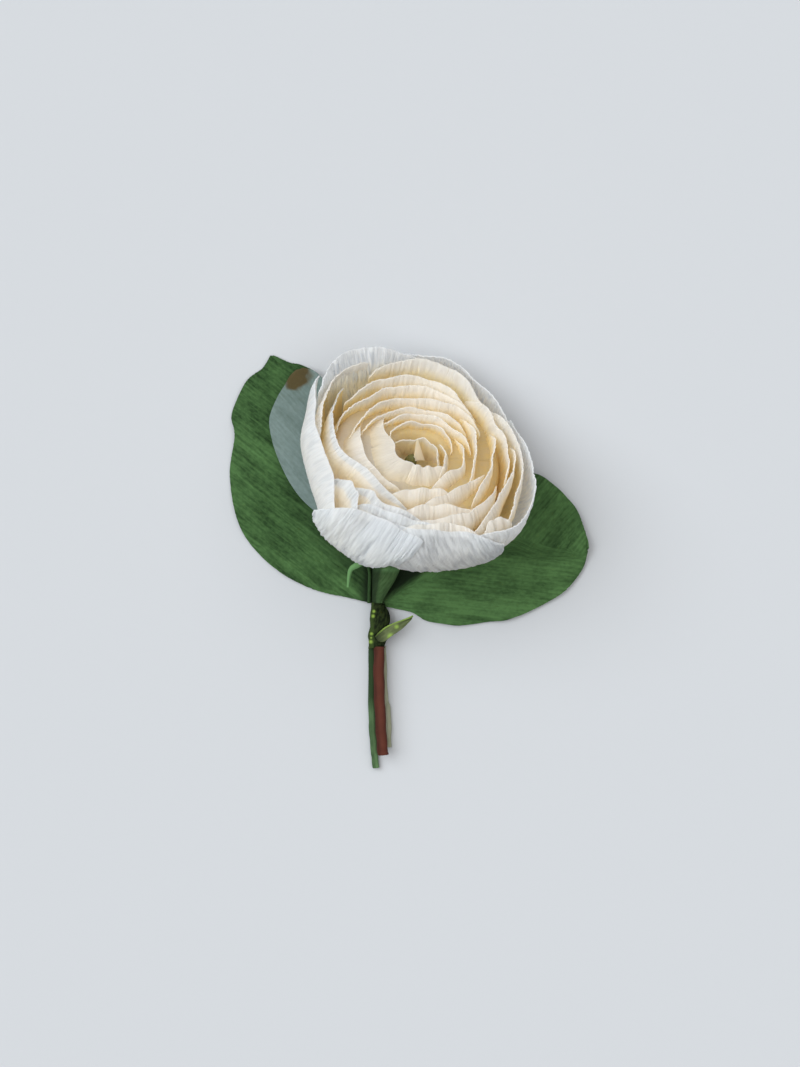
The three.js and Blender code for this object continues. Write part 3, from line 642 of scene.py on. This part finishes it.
def make_eye():
    """The green eye in the middle of the petals."""
    s = Shader("eye paper")
    normal = s.bump(s.grain(2.5, 1.0), 0.5, 0.0001)
    paper = s.paper(s.mix(s.grain(1.0, 1.0), (0.10, 0.10, 0.03), (0.20, 0.19, 0.07)), normal)
    cone = [(0.2, 12.9), (1.35, 12.9), (1.5, 14.4), (1.0, 16.2), (0.2, 16.8)]
    eye = turned(cone, 24, 32, share=0.5, place=EYE_PLACE)
    piece("eye_paper", [eye], paper, "bloom_eye")


# The leaves

LEFT_LEAF_EDGE = [
    (-8.6, -11.6), (-14.5, -10.3), (-23.2, -8.3), (-31.9, -3.9), (-39.2, 2.9), (-42.9, 10.1), (-44.5, 20.6),
    (-43.3, 30.1), (-44.1, 34.7), (-43, 38.6), (-40.1, 44.1), (-36.4, 47), (-34.4, 50.2),
]
LEFT_LEAF_HIDDEN_EDGE = [
    (-8.4, -9.6), (-8.3, -3.4), (-11.2, 6), (-14, 16), (-16, 26), (-18.5, 36), (-21.5, 44.5), (-26, 47.6),
    (-29.7, 48.5), (-33.4, 50.2),
]
RIGHT_LEAF_EDGE = [
    (-5.6, -12.5), (-2.5, -13.1), (0, -13.6), (1.9, -14.4), (4.5, -16), (8.7, -16.8), (13.2, -17.2),
    (20.2, -16.3), (24.5, -15.8), (30.2, -13.7), (36.2, -10.6), (39.9, -7.8), (43.4, -3.1), (44.6, 0.8),
]
RIGHT_LEAF_HIDDEN_EDGE = [
    (-6.4, -10.7), (-5.6, -7.5), (-3.2, -3.6), (2, 1), (9, 7), (17, 14), (25, 19.6), (31.7, 20.7),
    (36.7, 17.6), (39.9, 14.4), (42.4, 10.9), (44.4, 4.9), (44.8, 2.2),
]
GREY_LEAF_EDGE = [
    (-13.4, 3.4), (-18, 7), (-23, 11.1), (-26.7, 14.6), (-29.7, 18.9), (-32.3, 24.3), (-34, 29.6),
    (-34.5, 34.5), (-32.7, 39.4), (-30.8, 42.6), (-29.4, 45), (-27.8, 46.4),
]
GREY_LEAF_HIDDEN_EDGE = [
    (-12.2, 4.4), (-13, 10), (-14.5, 18), (-15.5, 27), (-16.8, 35), (-19.5, 42), (-23, 46), (-26.2, 47),
]


def left_leaf_height(u, v):
    arch = 1.5 * np.sin(math.pi * v) * np.sin(math.pi * np.minimum(1, 0.15 + u))
    base = 0.7 * (1 - np.minimum(1, u / 0.12)) ** 2
    wave = 0.35 * (1 - v) ** 2 * (1 + np.sin(34 * u)) * np.sin(math.pi * u)
    return LYING + base + arch * (1 - 0.45 * v) + wave


def right_leaf_height(u, v):
    lift = 4.2 * u * u * (0.25 + 0.75 * v) + 1.4 * np.sin(math.pi * v) * np.sin(math.pi * u)
    base = 0.9 * (1 - np.minimum(1, u / 0.15)) ** 2
    wave = 0.4 * (2 * v - 1) ** 2 * (1 + np.sin(30 * u + 2)) * np.sin(math.pi * u)
    return LYING + base + lift + wave


def grey_leaf_height(u, v):
    lift = 1.5 * (1 - v) * np.sin(math.pi * np.minimum(1, 0.2 + u))
    return 2.6 + lift + 0.25 * np.sin(math.pi * v) * np.sin(8 * u)


def leaf_grid(first, second, height, mesh):
    """Middle surface of a leaf between two edge lines, with its u and v."""
    columns, rows = mesh
    u, v = np.meshgrid(np.linspace(0, 1, columns), np.linspace(0, 1, rows))
    flat = spline(first, u) * (1 - v[..., None]) + spline(second, u) * v[..., None]
    return np.concatenate([flat, height(u, v)[..., None]], axis=-1), u, v


def grain_of(points, degrees):
    """Places across and along a straight grain that runs at that angle from +x."""
    turn = np.radians(degrees)
    x, y = points[..., 0], points[..., 1]
    return y * np.cos(turn) - x * np.sin(turn), x * np.cos(turn) + y * np.sin(turn)


def beyond(value, start, width):
    """0 up to the start and 1 past it by that width. A width under 0 runs the other way."""
    return np.clip((value - start) / width, 0, 1)


def above_surface(points):
    """A leaf's middle surface, lifted where the leaf would go under the surface that it lies on."""
    points[..., 2] = np.maximum(points[..., 2], LEAF_THICKNESS / 2)
    return points


def make_left_leaf(paper):
    points, u, v = leaf_grid(LEFT_LEAF_EDGE, LEFT_LEAF_HIDDEN_EDGE, left_leaf_height, LEAF_MESH)
    x, y = points[..., 0], points[..., 1]
    across, along = grain_of(points, LEFT_GRAIN)
    ridges = crepe(across, along, 101, LEAF_RIDGE_SPACING, length=8)
    folds = noise(across / 1.7, along / 20, 105) * 0.7 + noise(across / 4.5, along / 30, 106) * 0.5
    far_from_edge = np.sin(math.pi * np.clip(v + 0.15, 0, 1))
    dim = 0.3 * beyond(y, 8, 8) + 0.55 * beyond(y, 30, 6)
    # The streaks are partly the paper's own and partly painted light on the ridges and folds of the crepe
    # and painted shade in their hollows.
    streaks = np.clip(0.36 + 0.95 * folds + 0.45 * ridges - dim, 0, 1)
    beside_bloom = beyond(v, 0.4, 0.3) * beyond(u, 0.8, -0.3)
    beside_funnel = beyond(x, -13.2, 2.6) * beyond(y, 1, -4)
    shade = np.maximum(0.6 * beside_bloom, 0.9 * beside_funnel)
    points[..., 2] += ridges * LEAF_RIDGE_DEPTH + folds * 0.26 * far_from_edge
    uv = np.stack([across, along], axis=-1)
    blade = sheet(above_surface(points), LEAF_THICKNESS, uv, marks_of(streaks, 0, shade, 0))
    piece("leaf_left_paper", [blade], paper, "leaf_left")


def make_right_leaf(paper):
    """The right leaf, whose crepe runs two ways from a crease along its middle."""
    points, u, v = leaf_grid(RIGHT_LEAF_EDGE, RIGHT_LEAF_HIDDEN_EDGE, right_leaf_height, LEAF_MESH)
    x, y = points[..., 0], points[..., 1]
    rib = 0.5 + 0.05 * np.sin(5 * u)
    upper = np.clip((v - rib) / 0.12 + 0.5, 0, 1)
    lower = 1 - upper
    low_across, low_along = grain_of(points, RIGHT_LOW_GRAIN)
    high_across, high_along = grain_of(points, RIGHT_HIGH_GRAIN)
    ridges = crepe(low_across, low_along, 111, LEAF_RIDGE_SPACING, length=8) * lower
    ridges = ridges + crepe(high_across, high_along, 121, LEAF_RIDGE_SPACING, length=8) * upper
    low_folds = noise(low_across / 1.7, low_along / 22, 115)
    low_folds = low_folds + 0.6 * noise(low_across / 4, low_along / 30, 116)
    folds = low_folds * lower + noise(high_across / 2.2, high_along / 16, 125) * upper
    crease = np.exp(-((v - rib) / 0.03) ** 2) * beyond(u, 0.3, 0.3)
    # The streaks are partly the paper's own and partly painted light and shade on the ridges and folds of
    # the crepe, and the crease takes painted shade.
    streaks = np.clip(0.46 + 0.62 * folds + 0.4 * ridges + 0.16 * upper - 0.3 * crease, 0, 1)
    inside = (y + 10.4) * 0.817 - (x + 4.5) * 0.576  # mm past a line from the tape up to the right
    # Painted shade where the bloom hangs over the leaf.
    under_bloom = np.clip(inside / 1.6 + 0.2, 0, 1) * beyond(x, 11, -6)
    points[..., 2] += ridges * LEAF_RIDGE_DEPTH + (folds * 0.24 - 0.35 * crease) * np.sin(math.pi * u)
    across = low_across * lower + high_across * upper
    along = low_along * lower + high_along * upper
    uv = np.stack([across, along], axis=-1)
    blade = sheet(above_surface(points), LEAF_THICKNESS, uv, marks_of(streaks, 0, 0.95 * under_bloom, 0))
    piece("leaf_right_paper", [blade], paper, "leaf_right")


def make_grey_leaf(paper):
    """The grey leaf's blade, with a brown spot at its tip."""
    points, _, _ = leaf_grid(GREY_LEAF_EDGE, GREY_LEAF_HIDDEN_EDGE, grey_leaf_height, GREY_LEAF_MESH)
    x, y = points[..., 0], points[..., 1]
    across, along = grain_of(points, GREY_GRAIN)
    ridges = crepe(across, along, 131, LEAF_RIDGE_SPACING, length=10)
    from_spot = np.hypot(x - GREY_SPOT[0], y - GREY_SPOT[1])
    spot_radius = 4.2 + 1.2 * noise(x / 1.5, y / 1.5, 135)
    brown = beyond(from_spot, spot_radius, -1.6)
    pale_at_foot = 0.6 * beyond(y, 34, -14)
    # Partly the paper's own streaks and partly painted shade in the hollows of the crepe; lighter towards
    # the foot.
    streaks = np.clip(0.3 + pale_at_foot + 0.4 * ridges, 0, 1)
    points[..., 2] += ridges * 0.04
    uv = np.stack([across, along], axis=-1)
    blade = sheet(points, LEAF_THICKNESS, uv, marks_of(streaks, 0, 0, brown))
    piece("leaf_grey_paper", [blade], paper, "leaf_grey")


def make_grey_stalk(paper):
    route = [(-13.4, 5.5, 2.9), (-11.4, 0.5, 2.6), (-9.65, -3.4, 2.2), (-9.65, -8, 2.3),
             (-9.75, TIE_TOP, 2.6)]

    def section(t, angle):
        radius = np.full(t.shape, STALK_RADIUS)
        return radius, radius

    # Painted shade: dark leaf green with low streaks and some shade, so that the stalk stays dark beside the
    # funnel.
    def marks(t, angle, points):
        return marks_of(np.full(t.shape, 0.1), 0, 0.35, 0)

    stalk = tube(route, section, 40, 12, marks)
    piece("leaf_grey_stalk", [stalk], paper, "leaf_grey")


# The calyx


def make_calyx(paper):
    """The funnel under the bloom, the curled sepal at its left and the four under the petals."""
    foot = np.array(BLOOM_FOOT)
    route = [(-7.5, TIE_TOP - 0.4, 2.6), (-7.5, -10.4, 2.65), (-6.9, -8, 3.2), (-5.6, -3.4, 4),
             (-3.6, 5, 4.9)]
    route += [foot - BLOOM_AXIS * depth for depth in (2.8, 1.6, CLEARANCE)]
    radii = [1.3, 1.5, 2.1, 3.3, 4.2, 4.5, 4.6, 4.6]
    flat_height = 3.85  # the most that it reaches over or under its middle
    collar_y = -3.2

    def section(t, angle):
        radius = varying(radii, t)
        crease = 1 + 0.02 * noise(angle * radius / 0.8, t * 4, 141) * np.cos(angle / 2) ** 2
        return radius * crease, np.minimum(radius, flat_height) * crease

    def marks(t, angle, points):
        streaks = np.clip(0.65 + 0.4 * noise(angle * 3, t * 3, 145), 0, 1)
        # Painted shade on the funnel's left side.
        left = beyond(-np.cos(angle), 0.1, 0.3)
        collar = np.clip(1 - np.abs(points[..., 1] - collar_y) / 0.9, 0, 1)
        return marks_of(streaks, 0, 0.75 * left, 0.35 * collar)

    parts = [tube(route, section, 120, 120, marks), curled_sepal()]
    for azimuth, reach in HIDDEN_SEPALS:
        parts.append(sepal(azimuth, reach))
    piece("calyx_paper", parts, paper, "calyx")


def curled_sepal():
    """The sepal that shows left of the funnel, with a pale tip that curls down."""
    middle = [(-2.6, 9.6, 4.6), (-5.6, 5.2, 6.6), (-9.2, 0.8, 8), (-12.4, -1.9, 7.6), (-14.3, -3.4, 6.7),
              (-14.9, -7.6, 4.9)]
    half_widths = [1.2, 1.3, 1.1, 0.7, 0.45, 0.2]
    sag = 0.35  # of its two edges
    u, v = np.meshgrid(np.linspace(0, 1, 80), np.linspace(0, 1, 14))
    across = 2 * v - 1
    centre = spline(middle, u[0])
    half = varying(half_widths, u)
    ahead = np.gradient(centre, axis=0)
    side = unit(np.stack([-ahead[:, 1], ahead[:, 0], 0 * ahead[:, 0]], axis=-1))
    points = centre + side * (half * across)[..., None]
    points[..., 2] -= sag * across**2
    uv = np.stack([across * half, u * 20], axis=-1)
    pale_tip = 0.7 * np.clip(u * 1.6 - 0.2, 0, 1)
    return sheet(points, CURLED_SEPAL_THICKNESS, uv, marks_of(0.8, 0, 0, pale_tip))


def sepal(azimuth, reach):
    """A sepal that lies under the petals, out to that radius."""
    root, foot_height, curve = 3.4, -1.9, 0.0155
    half_width = 2.3
    u, v = np.meshgrid(np.linspace(0, 1, 40), np.linspace(0, 1, 24))
    radius = root + (reach - root) * u
    across = half_width * np.sin(math.pi * (0.25 + 0.68 * u)) * (2 * v - 1)
    points = polar(math.radians(azimuth) + across / radius, radius, curve * radius * radius + foot_height)
    uv = np.stack([across, radius], axis=-1)
    return sheet(from_bloom(points), SEPAL_THICKNESS, uv, marks_of(np.full(u.shape, 0.5), 0, 0, 0))


# Stems, tape and bract


def stem_paper(name, colour, dark, light):
    """Paper wound round a stem. Marks: light streaks, inner face, shade, lit side."""
    s = Shader(name)
    streaks, _, shade, lit = s.marks()
    mottle = s.grain(1.2, 0.5, 4.0)
    share = s.plus(s.times(mottle, 0.5), s.times(streaks, 0.5))
    body = s.mix(share, dark, colour)
    body = s.mix(lit, body, light)
    body = s.mix(shade, body, dark)
    normal = s.bump(s.grain(4.0, 1.0), 0.4, 0.0001)
    return s.paper(body, normal, roughness=0.75, specular=0.15)


def make_stem(kind, route, radius, paper, seed, lit_side=2.4, dark_above=0.0):
    """A stem with a wound seam and small lumps. Past the y of dark_above, towards the tape, it is dark."""

    def section(t, angle):
        seam = 1 + 0.05 * np.sin(angle + 30 * t)
        lumps = 0.035 * noise(angle / 2.1, t * 26, seed) + 0.02 * noise(angle / 0.7, t * 9, seed + 1)
        end = 1 - 0.12 * beyond(t, 0.985, 0.015) ** 2
        size = radius * (seam + lumps) * end
        return size, size

    def marks(t, angle, points):
        streaks = np.clip(0.5 + 0.4 * noise(angle, t * 12, seed + 2), 0, 1)
        shade = 0.85 * beyond(points[..., 1], dark_above - 2, 4)
        lit = 0.6 * np.clip(1.4 * np.cos(angle - lit_side) - 0.7, 0, 1)
        return marks_of(streaks, 0, shade, lit)

    stem = tube(route, section, 220, 40, marks)
    piece(f"stem_{kind}_paper", [stem], paper, f"stem_{kind}")


def make_stems():
    top = TIE_BOTTOM + 0.4  # inside the tape's end
    green = [(-9, top, 0.95), (-9.05, -39.3, 0.95), (-8.5, -48, 0.95), (-8, -52.8, 0.95)]
    brown = [(-7.15, top, 3.5), (-7.25, -30.6, 3.7), (-6.75, -42.8, 3.7), (-6.2, -49.4, 3.7)]
    pale = [(-6.4, top, 1.05), (-6, -34.1, 1.05), (-5.2, -39, 1.05), (-5.1, -47.6, 1.05)]
    paper = stem_paper("green stem paper", (0.10, 0.185, 0.08), (0.016, 0.038, 0.011), (0.19, 0.34, 0.15))
    make_stem("green", green, GREEN_STEM_RADIUS, paper, 151, dark_above=-37)
    paper = stem_paper("brown stem paper", (0.10, 0.026, 0.015), (0.03, 0.008, 0.005), (0.15, 0.045, 0.028))
    make_stem("brown", brown, BROWN_STEM_RADIUS, paper, 161, lit_side=2.0)
    paper = stem_paper("pale stem paper", (0.40, 0.41, 0.30), (0.18, 0.19, 0.12), (0.50, 0.52, 0.40))
    make_stem("pale", pale, PALE_STEM_RADIUS, paper, 171, lit_side=0.8)


def tape_paper():
    """Olive tape, lighter on its lit side, with painted highlights as bright spots. Marks: lit side, inner
    face, nothing, bright spots.
    """
    s = Shader("olive tape")
    lit, _, _, bright = s.marks()
    mottle = s.grain(1.5, 0.8, 4.0)
    body = s.mix(s.ramp(mottle, 0.35, 0.65), (0.004, 0.008, 0.002), (0.022, 0.034, 0.009))
    body = s.mix(lit, body, (0.045, 0.075, 0.018))
    # Painted highlights.
    body = s.mix(bright, body, (0.24, 0.36, 0.06))
    return s.paper(body, s.bump(mottle, 0.5, 0.0002), roughness=0.8, specular=0.1)


def spots(points, places):
    """How far each corner lies in round spots, given as x, y and radius."""
    found = np.zeros(points.shape[:-1])
    for x, y, radius in places:
        apart = np.hypot(points[..., 0] - x, points[..., 1] - y) / radius
        found = np.maximum(found, np.clip(1.3 - apart, 0, 1))
    return found


def make_tape(paper):
    route = [(-7.5, TIE_TOP, 2.6), (-7.5, -12.4, 2.6), (-7, -15.5, 2.6), (-7.5, -19.5, 2.5),
             (-7.8, -22, 2.5), (-7.8, TIE_BOTTOM, 2.5)]
    half_widths = [1.35, 1.8, 2.4, 2.3, 2, 1.9]

    def section(t, angle):
        turn = 1 + 0.06 * np.sin(2 * angle + 22 * t)
        crease = 0.03 * np.abs(np.sin(angle + 18 * t)) + 0.025 * noise(angle, t * 14, 181)
        high = 1.6 + 0.6 * np.sin(math.pi * np.minimum(1, t + 0.25) / 1.25)
        return varying(half_widths, t) * (turn + crease), high * (turn + crease)

    def marks(t, angle, points):
        # Painted light: lighter on its left, the lit side.
        left = beyond(points[..., 0], -8.3, -0.5)
        return marks_of(0.7 * left, 0, 0, spots(points, TAPE_HIGHLIGHTS))

    piece("stem_tape", [tube(route, section, 150, 72, marks)], paper, "stem_wrap")


def bract_height(u, v):
    return 5.5 - 2.4 * u * u - 0.5 * np.sin(math.pi * v) * u


def make_bract(paper):
    lower = [(-7.4, -21), (-6, -21.1), (-4.4, -19.9), (-1.6, -18), (0.2, -16.2), (1, -15.3)]
    upper = [(-8.2, -19.8), (-7, -18.6), (-5.5, -17.4), (-3, -16.3), (0, -15.3), (1.2, -14.7)]
    points, u, v = leaf_grid(lower, upper, bract_height, BRACT_MESH)
    across, along = grain_of(points, BRACT_GRAIN)
    ridges = crepe(across, along, 191, spacing=0.7, length=5)
    points[..., 2] += ridges * 0.05
    # Painted highlights along the upper edge and in spots, painted light and shade on the ridges and hollows
    # of the crepe, and painted shade towards the foot.
    bright = np.maximum(beyond(v, 0.88, 0.08), spots(points, BRACT_HIGHLIGHTS))
    streaks = np.clip(0.5 + 0.5 * ridges, 0, 1)
    marks = marks_of(streaks, 0, 0.8 * beyond(u, 0.35, -0.3), bright)
    uv = np.stack([across, along], axis=-1)
    piece("bract_paper", [sheet(points, BRACT_THICKNESS, uv, marks)], paper, "bract")


# Floor, light and camera


def add_sun(name, energy, spread, azimuth, elevation, colour):
    """A broad soft light that shines from an azimuth and elevation, all in degrees."""
    lamp = bpy.data.lights.new(name, "SUN")
    lamp.energy = energy
    lamp.angle = math.radians(spread)
    lamp.color = colour
    across, up = math.radians(azimuth), math.radians(elevation)
    toward = Vector((math.cos(across) * math.cos(up), math.sin(across) * math.cos(up), math.sin(up)))
    item = bpy.data.objects.new(name, lamp)
    item.rotation_euler = toward.to_track_quat("Z", "Y").to_euler()
    bpy.context.scene.collection.objects.link(item)


def make_floor():
    half, low = 3.0, -0.00005  # metres: it lies a hair under the sprig
    mesh = bpy.data.meshes.new("floor")
    corners = [(-half, -half, low), (half, -half, low), (half, half, low), (-half, half, low)]
    mesh.from_pydata(corners, [], [(0, 1, 2, 3)])
    mesh.materials.append(Shader("pale surface").paper((0.56, 0.575, 0.60), None, roughness=0.9))
    floor = bpy.data.objects.new("floor", mesh)
    bpy.context.scene.collection.objects.link(floor)


def make_lights():
    world = bpy.data.worlds.new("soft light")
    world.use_nodes = True
    background = world.node_tree.nodes["Background"]
    background.inputs["Color"].default_value = (0.95, 0.98, 1.0, 1)
    background.inputs["Strength"].default_value = 0.3
    bpy.context.scene.world = world

    add_sun("window", 1.95, spread=50, azimuth=160, elevation=52, colour=(0.92, 0.97, 1.0))
    add_sun("ceiling", 1.5, spread=80, azimuth=50, elevation=80, colour=(1.0, 0.98, 0.95))


def make_camera():
    view = bpy.data.cameras.new("camera")
    view.sensor_fit = "VERTICAL"
    view.sensor_height = SENSOR_HEIGHT
    view.lens = SENSOR_HEIGHT * CAMERA_PLACE[2] / FRAME_HEIGHT
    view.clip_end = 20
    camera = bpy.data.objects.new("camera", view)
    place = np.array(CAMERA_PLACE) - (*BOX_MIDDLE, 0)
    camera.location = (place * MM).tolist()
    bpy.context.scene.collection.objects.link(camera)
    bpy.context.scene.camera = camera
    scene = bpy.context.scene
    scene.view_settings.view_transform = "Standard"
    scene.cycles.diffuse_bounces = LIGHT_BOUNCES
    scene.cycles.max_bounces = LIGHT_BOUNCES


def make_sprig():
    petals = petal_paper()
    leaf = green_paper("leaf paper", (0.014, 0.042, 0.010), (0.088, 0.195, 0.062), (0.2, 0.4, 0.15))
    brown = (0.10, 0.075, 0.03)
    grey = green_paper("grey leaf paper", (0.13, 0.185, 0.165), (0.25, 0.33, 0.315), brown, through=0.2)
    calyx = green_paper("calyx paper", (0.014, 0.036, 0.010), (0.085, 0.165, 0.06), (0.20, 0.42, 0.16))
    bract = green_paper("bract paper", (0.045, 0.065, 0.02), (0.17, 0.21, 0.09), (0.30, 0.46, 0.09))
    make_bloom(petals)
    make_core(petals)
    make_eye()
    make_left_leaf(leaf)
    make_right_leaf(leaf)
    make_grey_leaf(grey)
    make_grey_stalk(leaf)
    make_calyx(calyx)
    make_stems()
    make_tape(tape_paper())
    make_bract(bract)


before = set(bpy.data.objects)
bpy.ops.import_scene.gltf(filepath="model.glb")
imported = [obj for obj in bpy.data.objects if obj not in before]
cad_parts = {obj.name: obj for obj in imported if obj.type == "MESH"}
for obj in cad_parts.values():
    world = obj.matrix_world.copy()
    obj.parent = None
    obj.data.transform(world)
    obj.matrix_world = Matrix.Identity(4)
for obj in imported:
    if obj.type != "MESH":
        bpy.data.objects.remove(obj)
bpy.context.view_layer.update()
make_sprig()
make_floor()
make_lights()
make_camera()
